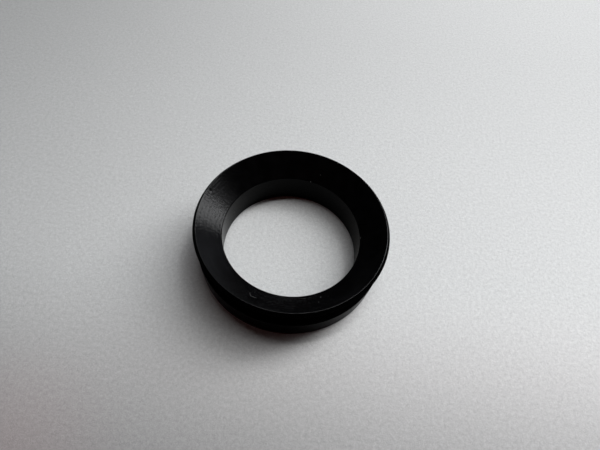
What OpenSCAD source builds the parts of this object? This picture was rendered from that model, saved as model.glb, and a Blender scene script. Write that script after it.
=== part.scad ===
// V-ring seal for a rotating shaft, as moulded and off the shaft.
// One revolved section: a body that grips the shaft, a V-groove behind the lip,
// and a conical lip with a square-cut tip, whose rim runs against a flat face.
// The axis is Z. The body's back face lies on Z = 0 and the lip points up.

/* [Body] */
// Free diameter of the bore, before it is stretched over the shaft
bore_d = 20; // [8:0.5:60]
// Width of the body at the bore, from the back face to the bore's front edge
bore_w = 4.8; // [3.5:0.1:8]
// Height of the body's shoulder above the bore, measured radially
shoulder_h = 3.65; // [3.2:0.05:4.5]
// How far the shoulder is set back from the bore's front edge
shoulder_set = 1.15; // [0.9:0.05:1.8]
// How much nearer the axis the outer face is at the back than at the shoulder
back_draft = 0.2; // [0:0.05:0.6]
// Radius of the body's two outer edges
edge_r = 0.15; // [0.05:0.05:0.3]

/* [Lip] */
// Height of the sealing rim above the bore, measured radially
rim_h = 3.45; // [3.1:0.05:4.2]
// How far the rim stands in front of the bore's front edge
lip_reach = 2.7; // [1.8:0.1:4]
// Thickness of the lip across its square-cut tip
tip_t = 0.7; // [0.4:0.05:0.9]

/* [Groove] */
// Rubber left between the bore and the groove's root, where the lip hinges
hinge_t = 1.3; // [0.8:0.05:1.6]
// How far the centre of the groove's root is set back from the bore's front edge
root_set = 0.65; // [0.4:0.05:1]
// Radius of the groove's root
root_r = 0.35; // [0.15:0.05:0.5]

/* [Hidden] */
RUBBER = [0.07, 0.07, 0.075];
TURN_STEPS = 180;   // flats round the ring in a preview
ROOT_STEPS = 12;    // chords along the groove's root
EDGE_STEPS = 4;     // chords along a rounded edge

// Corners of the section, as [distance from the axis, height above the back face]
bore_back = [bore_d / 2, 0];
bore_front = bore_back + [0, bore_w];
rim = bore_front + [rim_h, lip_reach];
lip_angle = atan2(lip_reach, rim_h);
tip_back = rim + tip_t * [sin(lip_angle), -cos(lip_angle)];
shoulder = bore_front + [shoulder_h, -shoulder_set];
back_outer = [shoulder[0] - back_draft, 0];
root_centre = bore_front + [hinge_t + root_r, -root_set];

function unit(v) = v / norm(v);
function direction(v) = atan2(v[1], v[0]);

// Points along an arc that starts at one angle and turns by another
function arc(centre, r, start, turn, steps) =
    [for (i = [0:steps]) centre + r * [cos(start + turn * i / steps), sin(start + turn * i / steps)]];

// An outline's corner, rounded off between the points before and after it
function rounded(before, corner, after, r) =
    let (
        u = unit(before - corner),
        v = unit(after - corner),
        half = acos(u * v) / 2,
        centre = corner + unit(u + v) * r / sin(half),
        start = direction(corner + u * r / tan(half) - centre),
        end = direction(corner + v * r / tan(half) - centre)
    )
    arc(centre, r, start, (end - start + 540) % 360 - 180, EDGE_STEPS);

// Where a line from a point meets the root's circle as a tangent, as an angle at its centre
function tangent_at(point, side) =
    direction(point - root_centre) + side * acos(root_r / norm(point - root_centre));

// The groove's round root, from the lip's flank to the body's flank
function groove_root() =
    let (
        lip_flank = tangent_at(tip_back, 1),
        body_flank = tangent_at(shoulder, -1) + 360
    )
    arc(root_centre, root_r, lip_flank, body_flank - lip_flank, ROOT_STEPS);

module section() {
    flank_end = groove_root()[ROOT_STEPS];
    polygon(concat(
        [bore_back, bore_front, rim, tip_back],
        groove_root(),
        rounded(flank_end, shoulder, back_outer, edge_r),
        rounded(shoulder, back_outer, bore_back, edge_r)
    ));
}

module v_ring() {
    color(RUBBER)
        rotate_extrude($fn = TURN_STEPS)
            section();
}

v_ring();
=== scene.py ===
"""The looks of the V-ring seal: one moulded rubber ring, flat on pale paper in soft window light.

The ring's section is the solid's own, with the small edge radii of a moulding, turned round Z.
"""
import math

import bpy
from mathutils import Matrix, Vector, noise


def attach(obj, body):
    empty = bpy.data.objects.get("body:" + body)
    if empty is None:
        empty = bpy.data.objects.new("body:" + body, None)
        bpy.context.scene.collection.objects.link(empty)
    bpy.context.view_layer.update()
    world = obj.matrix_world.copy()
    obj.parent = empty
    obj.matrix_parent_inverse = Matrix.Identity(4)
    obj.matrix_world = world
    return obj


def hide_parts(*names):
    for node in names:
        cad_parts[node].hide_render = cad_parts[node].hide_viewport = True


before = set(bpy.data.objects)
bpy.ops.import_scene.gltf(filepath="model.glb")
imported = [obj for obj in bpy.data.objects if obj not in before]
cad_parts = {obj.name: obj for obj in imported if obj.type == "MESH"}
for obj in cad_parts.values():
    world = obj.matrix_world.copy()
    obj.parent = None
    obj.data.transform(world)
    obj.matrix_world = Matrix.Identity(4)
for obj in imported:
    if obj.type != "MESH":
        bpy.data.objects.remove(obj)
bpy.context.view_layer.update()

MM = 0.001  # sizes below are in millimetres, and the frame is in metres

# ---------------------------------------------------------------- the ring's section, in mm

BORE_R = 10.0
BORE_W = 4.8
SHOULDER_H = 3.65  # above the bore, measured radially
SHOULDER_SET = 1.15  # back from the bore's front edge
BACK_DRAFT = 0.2
RIM_H = 3.45
LIP_REACH = 2.7
TIP_T = 0.7
HINGE_T = 1.3
ROOT_SET = 0.65
ROOT_R = 0.35
BODY_EDGE_R = 0.15  # the two outer edges of the body
BORE_EDGE_R = 0.08  # both ends of the bore
RIM_EDGE_R = 0.075  # where the cone meets the square-cut tip
TIP_EDGE_R = 0.03  # where the tip meets the lip's flank

EDGE_STEPS = 4
ROOT_STEPS = 10
FIRST_STEP = 0.05  # mesh spacing beside an edge
STEP_GROWTH = 1.5
LONGEST_STEP = 0.28
TURN_STEPS = 600

# Unevenness of the moulding, in mm
WAVE_DEPTH = 0.006
WAVE_SIZE = 2.2
RIM_WAVE = 0.02

# ---------------------------------------------------------------- marks on the rubber
# Each is (azimuth in degrees, distance from the axis, height) of its centre, in mm

NICK = (164.15, 13.09, 7.21)
NICK_R = 0.21
SCUFF = (196.2, 12.95, 7.12)
SCUFF_R = 0.16
DENTS = [(NICK, NICK_R, 0.085), (SCUFF, SCUFF_R, 0.015)]  # centre, radius, depth
SPECKS = [
    ((298.2, 10.98, 5.57), 0.07),
    ((294.8, 11.80, 6.21), 0.045),
    ((80.6, 10.0, 4.74), 0.10),
    ((74.4, 11.16, 5.71), 0.05),
    ((5.0, 10.08, 4.86), 0.07),
    ((157.9, 10.0, 2.12), 0.06),
]
DUST_AND_SHEEN = ((169, 11.5, 5.97), 2.6)  # pale grains where the window's highlight falls: dust, and painted highlight speckle
SCRATCHES_AND_GLINTS = ((156, 12.95, 7.11), 1.5)  # faint pale lines along the rim: scratches, with their glints painted as colour
LINT = [(249.2, 11.48), (250.9, 12.02), (252.6, 12.03), (255.3, 11.93)]  # azimuth, distance
LINT_R = 0.018

# ---------------------------------------------------------------- the rubber's surface

# Chosen for the photo's dark tones, so not physical: real rubber has an IOR of about 1.5 and is paler.
# On each stretch of the section: (roughness, IOR, relief in mm, paleness), where the lower paleness of
# the bore and the tip is painted shade
FINISH = {
    "bore": (0.19, 1.12, 0.014, 0.4),
    "edge": (0.60, 1.02, 0.01, 1),
    "cone": (0.12, 1.19, 0.020, 1),
    "rim": (0.25, 1.33, 0.01, 1),
    "tip": (0.50, 1.03, 0.014, 0.3),
    "flank": (0.20, 1.042, 0.014, 1),
}
RUBBER_DARK = (0.0008, 0.0008, 0.0009)
RUBBER_PALE = (0.0018, 0.0018, 0.0020)
SPECK_COLOUR = (0.16, 0.16, 0.16)
# Pale colour of the dust and its painted highlight speckle, and of the scratches' painted glints
DUST_AND_SHEEN_COLOUR = (0.026, 0.026, 0.027)
GLOSS_TINT = (0.965, 0.98, 1.0)
# Sizes of the textures, in mm
CLOUD_SIZE = 1.6
MOTTLE_SIZE = 0.35
FINE_SIZE = 0.18
LINE_WIDTH = 0.22
LINE_LENGTH = 5.0
# Where each noise starts and ends its change
CLOUD_BAND = (0.35, 0.65)
MOTTLE_BAND = (0.3, 0.7)
# The next two are for the dust with its painted highlight speckle, and for the scratch lines with
# their painted glints
DUST_AND_SHEEN_BAND = (0.50, 0.62)
LINE_BAND = (0.52, 0.62)
ROUGH_CHANGE = 0.03
NICK_ROUGHNESS = 0.8  # added to the face's own
FINE_HEIGHT = 0.8  # of the mottle's
LINE_HEIGHT = 0.8
# Fade of the dust and painted highlight speckle, and fade and strength of the scratches' painted
# glints
DUST_AND_SHEEN_FADE = 0.9
SCRATCH_AND_GLINT_FADE = 0.8
SCRATCH_AND_GLINT_STRENGTH = 0.5
LINT_DARK = (0.07, 0.07, 0.07)
LINT_PALE = (0.15, 0.15, 0.15)
LINT_GRAIN = 0.05
LINT_ROUGHNESS = 0.8

# ---------------------------------------------------------------- camera

# Fitted to the ring's edges in the photo
CAMERA_ELEVATION = 56.85
CAMERA_ROLL = 8.80
CAMERA_AT = Vector((1.025, -34.99, 60.73)) * MM
CAMERA_LENS = 27.3

# ---------------------------------------------------------------- light

# The lamps and glows were fitted to the photo's highlights, and then rounded
LAMP_DISTANCE = 3.0
# (name, azimuth from +X towards +Y, elevation, roll, width, height, brightness), angles in degrees,
# where brightness 1 looks white
LAMPS = [
    ("window_tall", 42, 42, -23, 18, 48, 10),
    ("window_high", 49, 69, -23, 12, 12, 11),
    ("ceiling_light", 95, 82, -71, 3, 21, 26),
]
# Soft glows round the window and along the walls, and a faint warm one from the camera's side:
# (azimuth, elevation, sharpness, colour)
GLOWS = [
    (24, 34, 52, (2.3, 2.3, 2.3)),
    (72, 20, 6.4, (0.80, 0.82, 0.90)),
    (182, -6, 21, (1.3, 1.3, 1.3)),
    (270, 25, 3, (0.05, 0.014, 0.012)),
]
BACKDROP_LIGHT = 0.6

# The paper is darker at the photo's left, its foot and its far side, as painted shade
PAPER_GREYS_WITH_PAINTED_SHADE = [(-70, 0.32), (0, 0.72), (70, 0.85)]  # (x in mm, grey)
FOOT_SHADE = (-43, -3, 0.40)  # y of the full shade and of none, in mm, and the shade
FAR_SHADE = (60, 0, 0.91)
# Small dots on the paper: (x, y, radius, gain at the centre)
PAPER_DOTS = [
    (-3.4, 1.8, 0.22, -0.22),
    (-24.6, 8.4, 0.30, -0.12),
    (32.2, 41.2, 0.35, -0.10),
]
PAPER_TINT = (0.973, 0.993, 0.994)
# The tint is redder towards the photo's foot, and more so in its near left corner: a painted warm tint
# of the shade there
FOOT_WAY = Vector((0.137, -0.99, 0.0))
FOOT_FROM = 6.0  # mm from the ring's axis
FOOT_TO = 19.0
WARM_SHADE_RED = 1.02
WARM_SHADE_CORNER = (-30, -35, 18, 0.10)  # x, y, radius, gain
PAPER_HALF = 4.0  # metres
PAPER_DROP = 0.01  # mm, keeps the sheet clear of the ring's back face
FIBRE_SIZE = 0.5
FIBRE_BAND = (0.25, 0.75)
FIBRE_SHADE = (0.76, 1.24)
FIBRE_RELIEF = 0.06
PAPER_SOFTNESS = 0.5  # the share of light that spreads inside the paper
PAPER_SPREAD = 0.6
PAPER_ROUGHNESS = 0.9
PAPER_GLOSS = 0.1


# ================================================================ geometry


def polar(azimuth, radius, height=0.0):
    a = math.radians(azimuth)
    return Vector((radius * math.cos(a), radius * math.sin(a), height))


def arc(centre, radius, start, turn, steps):
    """Points on an arc, angles in radians."""
    angles = [start + turn * i / steps for i in range(steps + 1)]
    return [centre + radius * Vector((math.cos(a), math.sin(a))) for a in angles]


def direction(v):
    return math.atan2(v.y, v.x)


def rounded(before, corner, after, radius):
    """The arc that rounds a corner off between its neighbours."""
    u = (before - corner).normalized()
    v = (after - corner).normalized()
    half = math.acos(u.dot(v)) / 2
    centre = corner + (u + v).normalized() * radius / math.sin(half)
    start = direction(corner + u * radius / math.tan(half) - centre)
    end = direction(corner + v * radius / math.tan(half) - centre)
    turn = (end - start + math.pi) % math.tau - math.pi
    return arc(centre, radius, start, turn, EDGE_STEPS)


def groove_root(tip_back, shoulder, centre):
    """The groove's round root, tangent to the lip's flank and to the body's flank."""

    def tangent(point, side):
        arm = point - centre
        return direction(arm) + side * math.acos(ROOT_R / arm.length)

    start = tangent(tip_back, 1)
    end = tangent(shoulder, -1) + math.tau
    return arc(centre, ROOT_R, start, end - start, ROOT_STEPS)


def graded(a, b):
    """Points strictly between a and b, close together near both ends."""
    half = (b - a).length / 2
    marks, place, step = [], 0.0, FIRST_STEP
    while place + step < half:
        place += step
        marks.append(place)
        step = min(step * STEP_GROWTH, LONGEST_STEP)
    u = (b - a).normalized()
    return [a + u * m for m in marks] + [(a + b) / 2] + [b - u * m for m in reversed(marks)]


def section():
    """The closed outline as (points, zones): zone i is the stretch from point i to the next."""
    bore_back = Vector((BORE_R, 0))
    bore_front = Vector((BORE_R, BORE_W))
    rim = bore_front + Vector((RIM_H, LIP_REACH))
    along_lip = (rim - bore_front).normalized()
    tip_back = rim + TIP_T * Vector((along_lip.y, -along_lip.x))
    shoulder = bore_front + Vector((SHOULDER_H, -SHOULDER_SET))
    root_centre = bore_front + Vector((HINGE_T + ROOT_R, -ROOT_SET))
    root = groove_root(tip_back, shoulder, root_centre)
    back_outer = Vector((shoulder.x - BACK_DRAFT, 0))
    runs = [
        ("bore", "bore", rounded(back_outer, bore_back, bore_front, BORE_EDGE_R)),
        ("edge", "cone", rounded(bore_back, bore_front, rim, BORE_EDGE_R)),
        ("rim", "tip", rounded(bore_front, rim, tip_back, RIM_EDGE_R)),
        ("flank", "flank", rounded(rim, tip_back, root[0], TIP_EDGE_R)),
        ("flank", "flank", root),
        ("flank", "flank", rounded(root[-1], shoulder, back_outer, BODY_EDGE_R)),
        ("flank", "flank", rounded(shoulder, back_outer, bore_back, BODY_EDGE_R)),
    ]
    points, zones = [], []
    for i, (corner_zone, flank_zone, run) in enumerate(runs):
        straight = graded(run[-1], runs[(i + 1) % len(runs)][2][0])
        points += run + straight
        zones += [corner_zone] * (len(run) - 1) + [flank_zone] * (len(straight) + 1)
    # The dull line along the bore's front edge takes one mesh step of each face beside it
    first = zones.index("edge")
    last = len(zones) - 1 - zones[::-1].index("edge")
    zones[first - 1] = zones[last + 1] = "edge"
    return points, zones


def moulded(place, normal):
    """A vertex moved inwards by the moulding's unevenness and by the dents, all in mm."""
    wave = (noise.noise(place / WAVE_SIZE) + 1) / 2 * WAVE_DEPTH
    dent = 0.0
    for centre, radius, depth in DENTS:
        away = (place - polar(*centre)).length / radius
        dent += depth * max(0.0, 1 - away**2) ** 2
    return place - normal * (wave + dent)


def outline_normals(points):
    """Outward normals of the outline, which runs clockwise round the rubber."""
    normals = []
    for i, p in enumerate(points):
        along = points[(i + 1) % len(points)] - points[i - 1]
        normals.append(Vector((-along.y, along.x)).normalized())
    return normals


def ring_mesh():
    points, zones = section()
    normals = outline_normals(points)
    n = len(points)
    verts, faces, slots = [], [], []
    for turn in range(TURN_STEPS):
        a = math.tau * turn / TURN_STEPS
        rim_dip = RIM_WAVE * (noise.noise(Vector((math.cos(a), math.sin(a), 0)) * 1.3) + 1) / 2
        for p, m in zip(points, normals):
            lean = max(0.0, (p.y - BORE_W) / LIP_REACH)
            place = Vector((p.x * math.cos(a), p.x * math.sin(a), p.y - rim_dip * lean))
            normal = Vector((m.x * math.cos(a), m.x * math.sin(a), m.y))
            verts.append(moulded(place, normal) * MM)
        base, nxt = turn * n, (turn + 1) % TURN_STEPS * n
        for i in range(n):
            j = (i + 1) % n
            faces.append((base + i, nxt + i, nxt + j, base + j))
            slots.append(list(FINISH).index(zones[i]))
    mesh = bpy.data.meshes.new("v_ring_rubber")
    mesh.from_pydata(verts, [], faces)
    mesh.polygons.foreach_set("material_index", slots)
    mesh.shade_smooth()
    mesh.update()
    return mesh


# ================================================================ materials


def new_material(name):
    material = bpy.data.materials.new(name)
    material.use_nodes = True
    tree = material.node_tree
    shader = tree.nodes["Principled BSDF"]
    return material, tree, shader


def node(tree, kind, inputs=None, **settings):
    """Adds a node, with its settings and its inputs' values or links."""
    made = tree.nodes.new(kind)
    for key, value in settings.items():
        setattr(made, key, value)
    for key, value in (inputs or {}).items():
        if isinstance(value, bpy.types.NodeSocket):
            tree.links.new(value, made.inputs[key])
        else:
            made.inputs[key].default_value = value
    return made


def link(tree, socket, target):
    tree.links.new(socket, target)


def object_coordinates(tree):
    return node(tree, "ShaderNodeTexCoord").outputs["Object"]


def grain(tree, place, size_mm, detail=3.0, rough=0.5):
    """Noise whose blobs are about size_mm across."""
    made = node(
        tree,
        "ShaderNodeTexNoise",
        {"Vector": place, "Scale": 1 / (size_mm * MM), "Detail": detail, "Roughness": rough},
    )
    return made.outputs["Fac"]


def ring_lines(tree, place, size_mm, length_mm):
    """Streaks that run round the axis, as a turned mould leaves them."""
    axes = node(tree, "ShaderNodeSeparateXYZ", {0: place})
    flat = node(tree, "ShaderNodeCombineXYZ", {0: axes.outputs["X"], 1: axes.outputs["Y"]})
    radius = node(
        tree, "ShaderNodeVectorMath", {0: flat.outputs["Vector"]}, operation="LENGTH"
    ).outputs["Value"]
    # The seam of the angle lies at +X, where the cone is darkest
    angle = maths(
        tree,
        "ARCTAN2",
        maths(tree, "MULTIPLY", axes.outputs["Y"], -1.0),
        maths(tree, "MULTIPLY", axes.outputs["X"], -1.0),
    )
    along = maths(tree, "MULTIPLY", angle, BORE_R * MM * size_mm / length_mm)
    streak = node(tree, "ShaderNodeCombineXYZ", {0: radius, 1: along})
    return grain(tree, streak.outputs["Vector"], size_mm, 1.0)


def spread(tree, value, low, high, to_low, to_high):
    made = node(
        tree,
        "ShaderNodeMapRange",
        {"Value": value, "From Min": low, "From Max": high, "To Min": to_low, "To Max": to_high},
    )
    return made.outputs["Result"]


def maths(tree, operation, *values):
    return node(tree, "ShaderNodeMath", dict(enumerate(values)), operation=operation).outputs[0]


def spot(tree, place, centre_mm, radius_mm, soft=0.4):
    """1 inside a ball round a point on the surface, fading to 0 at its edge."""
    away = node(
        tree,
        "ShaderNodeVectorMath",
        {0: place, 1: polar(*centre_mm) * MM},
        operation="DISTANCE",
    ).outputs["Value"]
    return spread(tree, away, radius_mm * MM * (1 - soft), radius_mm * MM, 1.0, 0.0)


def mix_colour(tree, factor, a, b):
    made = node(tree, "ShaderNodeMix", data_type="RGBA")
    link(tree, factor, made.inputs["Factor"])
    for socket, value in ((made.inputs[6], a), (made.inputs[7], b)):
        if isinstance(value, bpy.types.NodeSocket):
            link(tree, value, socket)
        else:
            socket.default_value = (*value, 1)
    return made.outputs[2]


def rubber_surface(name, roughness, ior, relief_mm, paleness_with_painted_shade):
    material, tree, shader = new_material(name)
    place = object_coordinates(tree)
    cloud = grain(tree, place, CLOUD_SIZE, 2.0)
    mottle = grain(tree, place, MOTTLE_SIZE, 3.0)
    fine = grain(tree, place, FINE_SIZE, 2.0)
    lines = ring_lines(tree, place, LINE_WIDTH, LINE_LENGTH)
    # A paleness below 1, on the bore and the tip, darkens the rubber's colour as painted shade
    dark = [paleness_with_painted_shade * c for c in RUBBER_DARK]
    pale = [paleness_with_painted_shade * c for c in RUBBER_PALE]
    colour = mix_colour(tree, spread(tree, cloud, *CLOUD_BAND, 0, 1), dark, pale)
    smooth, dull = roughness - ROUGH_CHANGE, roughness + ROUGH_CHANGE
    rough = spread(tree, mottle, *MOTTLE_BAND, smooth, dull)
    rough = maths(tree, "MULTIPLY_ADD", spot(tree, place, NICK, NICK_R), NICK_ROUGHNESS, rough)
    # Pale grains and lines where the window's highlight falls: dust and scratches, with painted
    # highlight speckle and glints
    dust_and_sheen_grains = maths(
        tree,
        "MULTIPLY",
        spot(tree, place, *DUST_AND_SHEEN, soft=DUST_AND_SHEEN_FADE),
        spread(tree, fine, *DUST_AND_SHEEN_BAND, 0, 1),
    )
    scratches_and_glints = maths(
        tree,
        "MULTIPLY",
        spot(tree, place, *SCRATCHES_AND_GLINTS, soft=SCRATCH_AND_GLINT_FADE),
        spread(tree, lines, *LINE_BAND, 0, SCRATCH_AND_GLINT_STRENGTH),
    )
    colour = mix_colour(tree, maths(tree, "MAXIMUM", dust_and_sheen_grains, scratches_and_glints), colour, DUST_AND_SHEEN_COLOUR)
    # Painted shade in the nick: the dent takes the rubber's darkest colour, clear of the pale grains
    # and lines
    colour = mix_colour(tree, spot(tree, place, NICK, NICK_R), colour, RUBBER_DARK)
    for centre, radius in SPECKS:
        colour = mix_colour(tree, spot(tree, place, centre, radius), colour, SPECK_COLOUR)
    height = maths(tree, "MULTIPLY_ADD", fine, FINE_HEIGHT, mottle)
    height = maths(tree, "MULTIPLY_ADD", lines, LINE_HEIGHT, height)
    relief = node(
        tree, "ShaderNodeBump", {"Strength": 1.0, "Distance": relief_mm * MM, "Height": height}
    )
    link(tree, colour, shader.inputs["Base Color"])
    link(tree, rough, shader.inputs["Roughness"])
    link(tree, relief.outputs["Normal"], shader.inputs["Normal"])
    shader.inputs["IOR"].default_value = ior
    shader.inputs["Specular Tint"].default_value = (*GLOSS_TINT, 1)
    return material


def lint_surface():
    material, tree, shader = new_material("lint")
    fibre = grain(tree, object_coordinates(tree), LINT_GRAIN)
    link(tree, mix_colour(tree, fibre, LINT_DARK, LINT_PALE), shader.inputs["Base Color"])
    shader.inputs["Roughness"].default_value = LINT_ROUGHNESS
    return material


def ramp(tree, value, stops):
    """A grey that runs smoothly along stops of (place in mm, grey)."""
    low = stops[0][0]
    high = stops[-1][0]
    made = node(tree, "ShaderNodeValToRGB", {"Fac": spread(tree, value, low * MM, high * MM, 0, 1)})
    made.color_ramp.interpolation = "B_SPLINE"
    elements = made.color_ramp.elements
    while len(elements) < len(stops):
        elements.new(0.5)
    for element, (place, grey) in zip(elements, stops):
        element.position = (place - low) / (high - low)
        element.color = (grey, grey, grey, 1)
    return made.outputs["Color"]


def patch(tree, place, x, y, radius, gain):
    """1 beyond the radius, and 1 + gain at the centre, in mm."""
    away = node(
        tree, "ShaderNodeVectorMath", {0: place, 1: Vector((x, y, 0)) * MM}, operation="DISTANCE"
    )
    made = node(
        tree,
        "ShaderNodeMapRange",
        {"Value": away.outputs["Value"], "From Max": radius * MM, "To Min": 1 + gain, "To Max": 1.0},
        interpolation_type="SMOOTHSTEP",
    )
    return made.outputs["Result"]


def end_shade(tree, y, shaded, clear, shade):
    """A soft change of tone along Y, from the shade to 1: painted shade on the paper."""
    limits = {"From Min": shaded * MM, "From Max": clear * MM, "To Min": shade, "To Max": 1.0}
    made = node(tree, "ShaderNodeMapRange", {"Value": y, **limits}, interpolation_type="SMOOTHSTEP")
    return made.outputs["Result"]


def paper_surface():
    material, tree, shader = new_material("paper")
    place = object_coordinates(tree)
    axes = node(tree, "ShaderNodeSeparateXYZ", {0: place})
    # The paper's grey, with painted shade that darkens it towards -X
    tone = ramp(tree, axes.outputs["X"], PAPER_GREYS_WITH_PAINTED_SHADE)
    fibre = grain(tree, place, FIBRE_SIZE, 4.0, 1.0)
    shade = spread(tree, fibre, *FIBRE_BAND, *FIBRE_SHADE)
    # Painted shade at the paper's foot and far side
    for end in (FOOT_SHADE, FAR_SHADE):
        shade = maths(tree, "MULTIPLY", shade, end_shade(tree, axes.outputs["Y"], *end))
    for dot in PAPER_DOTS:
        shade = maths(tree, "MULTIPLY", shade, patch(tree, place, *dot))
    grained_and_shaded = node(
        tree, "ShaderNodeVectorMath", {0: tone, "Scale": shade}, operation="SCALE"
    )
    foot = node(
        tree, "ShaderNodeVectorMath", {0: place, 1: FOOT_WAY}, operation="DOT_PRODUCT"
    ).outputs["Value"]
    # Painted warm shade: the paper's red rises towards the foot and in the near left corner
    warm_shade = maths(
        tree,
        "MULTIPLY",
        spread(tree, foot, FOOT_FROM * MM, FOOT_TO * MM, 1.0, WARM_SHADE_RED),
        patch(tree, place, *WARM_SHADE_CORNER),
    )
    tint = node(
        tree,
        "ShaderNodeCombineXYZ",
        {0: maths(tree, "MULTIPLY", warm_shade, PAPER_TINT[0]), 1: PAPER_TINT[1], 2: PAPER_TINT[2]},
    )
    tinted = node(
        tree,
        "ShaderNodeVectorMath",
        {0: grained_and_shaded.outputs["Vector"], 1: tint.outputs["Vector"]},
        operation="MULTIPLY",
    )
    relief = node(
        tree, "ShaderNodeBump", {"Strength": 1.0, "Distance": FIBRE_RELIEF * MM, "Height": fibre}
    )
    link(tree, tinted.outputs["Vector"], shader.inputs["Base Color"])
    link(tree, relief.outputs["Normal"], shader.inputs["Normal"])
    shader.inputs["Subsurface Weight"].default_value = PAPER_SOFTNESS
    shader.inputs["Subsurface Radius"].default_value = (1.0, 1.0, 1.0)
    shader.inputs["Subsurface Scale"].default_value = PAPER_SPREAD * MM
    shader.inputs["Roughness"].default_value = PAPER_ROUGHNESS
    shader.inputs["Specular IOR Level"].default_value = PAPER_GLOSS
    return material


# ================================================================ pieces


def show(name, mesh, *materials):
    piece = bpy.data.objects.new(name, mesh)
    for material in materials:
        mesh.materials.append(material)
    bpy.context.scene.collection.objects.link(piece)
    return piece


def on_cone(azimuth, radius, above):
    """A point that height above the lip's cone, measured square to it, in mm."""
    height = BORE_W + (radius - BORE_R) * LIP_REACH / RIM_H
    outwards = Vector((-LIP_REACH, RIM_H)).normalized() * above
    return polar(azimuth, radius + outwards.x, height + outwards.y)


def lint_piece(material):
    """A short fibre stuck to the cone: a curve turned into a closed tube."""
    curve = bpy.data.curves.new("lint_route", "CURVE")
    curve.dimensions = "3D"
    curve.bevel_depth = LINT_R * MM
    curve.bevel_resolution = 2
    curve.use_fill_caps = True
    route = curve.splines.new("NURBS")
    route.points.add(len(LINT) - 1)
    for point, (azimuth, radius) in zip(route.points, LINT):
        point.co = (*(on_cone(azimuth, radius, LINT_R * 0.6) * MM), 1)
        point.radius = 1.0
    route.points[0].radius = 0.6
    route.points[-1].radius = 0.5
    route.order_u = 3
    route.use_endpoint_u = True
    route.resolution_u = 8
    shaped = bpy.data.objects.new("lint_route", curve)
    mesh = bpy.data.meshes.new_from_object(shaped)
    bpy.data.objects.remove(shaped)
    mesh.shade_smooth()
    return show("lint", mesh, material)


def make_ring():
    surfaces = [rubber_surface("rubber_" + zone, *finish) for zone, finish in FINISH.items()]
    ring = show("v_ring_rubber", ring_mesh(), *surfaces)
    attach(ring, "root")
    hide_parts("v_ring")
    lint = lint_piece(lint_surface())
    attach(lint, "root")


def make_floor():
    half = PAPER_HALF
    corners = [(-half, -half), (half, -half), (half, half), (-half, half)]
    mesh = bpy.data.meshes.new("paper")
    mesh.from_pydata([(x, y, -PAPER_DROP * MM) for x, y in corners], [], [(0, 1, 2, 3)])
    mesh.update()
    show("paper", mesh, paper_surface())


# ================================================================ light and camera


def lamp(name, azimuth, elevation, roll, width, height, brightness):
    """A rectangular lamp that faces the ring."""
    light = bpy.data.lights.new(name, "AREA")
    light.shape = "RECTANGLE"
    light.size = 2 * LAMP_DISTANCE * math.tan(math.radians(width) / 2)
    light.size_y = 2 * LAMP_DISTANCE * math.tan(math.radians(height) / 2)
    light.energy = brightness * math.pi * light.size * light.size_y
    e = math.radians(elevation)
    towards = polar(azimuth, math.cos(e), math.sin(e))
    level = polar(azimuth + 90, 1.0)
    turn = Matrix((level, towards.cross(level), towards)).transposed().to_4x4()
    spin = Matrix.Rotation(math.radians(roll), 4, "Z")
    placed = bpy.data.objects.new(name, light)
    placed.matrix_world = Matrix.Translation(towards * LAMP_DISTANCE) @ turn @ spin
    bpy.context.scene.collection.objects.link(placed)


def make_world():
    """A dim room, and a pale backdrop where the camera looks past the paper."""
    world = bpy.data.worlds.new("room")
    world.use_nodes = True
    tree = world.node_tree
    seen = node(tree, "ShaderNodeLightPath").outputs["Is Camera Ray"]
    way = node(tree, "ShaderNodeTexCoord").outputs["Generated"]
    room = (0.0, 0.0, 0.0)
    for azimuth, elevation, sharpness, colour in GLOWS:
        e = math.radians(elevation)
        towards = polar(azimuth, math.cos(e), math.sin(e))
        facing = node(
            tree, "ShaderNodeVectorMath", {0: way, 1: towards}, operation="DOT_PRODUCT"
        ).outputs["Value"]
        glow = maths(tree, "POWER", maths(tree, "MAXIMUM", facing, 0.0), sharpness)
        room = node(
            tree,
            "ShaderNodeVectorMath",
            {0: glow, 1: colour, 2: room},
            operation="MULTIPLY_ADD",
        ).outputs["Vector"]
    light = mix_colour(tree, seen, room, (BACKDROP_LIGHT,) * 3)
    link(tree, light, tree.nodes["Background"].inputs["Color"])
    bpy.context.scene.world = world


def make_camera():
    e = math.radians(CAMERA_ELEVATION)
    roll = math.radians(CAMERA_ROLL)
    level_right = Vector((1, 0, 0))
    level_up = Vector((0, math.sin(e), math.cos(e)))
    back = Vector((0, -math.cos(e), math.sin(e)))
    right = math.cos(roll) * level_right + math.sin(roll) * level_up
    up = math.cos(roll) * level_up - math.sin(roll) * level_right
    camera = bpy.data.cameras.new("camera")
    camera.lens = CAMERA_LENS
    camera.clip_start = 1 * MM
    placed = bpy.data.objects.new("camera", camera)
    turn = Matrix((right, up, back)).transposed().to_4x4()
    placed.matrix_world = Matrix.Translation(CAMERA_AT) @ turn
    bpy.context.scene.collection.objects.link(placed)
    bpy.context.scene.camera = placed


make_camera()
make_world()
for values in LAMPS:
    lamp(*values)
make_floor()
make_ring()
bpy.context.scene.view_settings.view_transform = "Standard"
